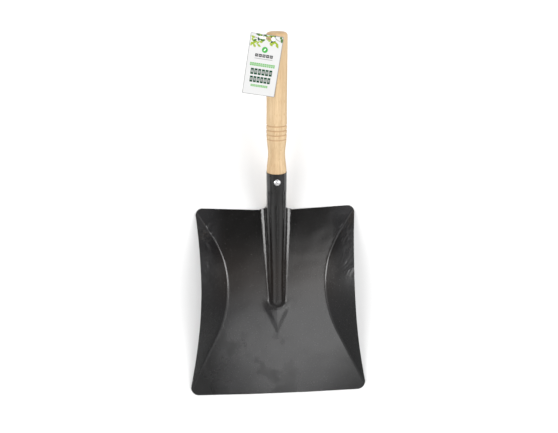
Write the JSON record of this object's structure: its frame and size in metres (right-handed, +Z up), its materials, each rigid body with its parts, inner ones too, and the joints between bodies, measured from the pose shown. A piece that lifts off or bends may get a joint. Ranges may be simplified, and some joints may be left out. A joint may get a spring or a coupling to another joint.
{
  "type": "hand shovel",
  "caption": "Square-mouth hand shovel: black pressed-steel pan with folded-up sides, a ridge and a rolled socket, a plain turned beech handle, a rivet and a swinging card tag.",
  "frame": {"origin": "bottom centre of the bounding box; the flat underside of the pan lies on Z = 0", "axes": "+Y from the pan's front edge towards the handle, +Z up out of the pan, +X to the right seen from above with the handle away"},
  "size_m": [0.2252, 0.45, 0.098],
  "materials": {
    "black_enamel": "semi-gloss black enamel",
    "beech": "sanded, unvarnished",
    "rivet_steel": "bright plated",
    "tag_card": "printed, satin coated",
    "clear_nylon": "milky translucent"
  },
  "bodies": {
    "shovel": {"pan_with_socket": "black_enamel", "handle": "beech", "rivet_body": "rivet_steel", "rivet_mandrel": "rivet_steel", "tag_pin": "clear_nylon"},
    "tag": {"hang_tag": "tag_card"}
  },
  "joints": [
    {"name": "tag_swing", "type": "hinge", "parent": "shovel", "child": "tag", "pos_m": [-0.005, 0.21241, 0.09473], "axis": [0, -0.2924, 0.9563], "range_deg": [-81, 99]}
  ]
}
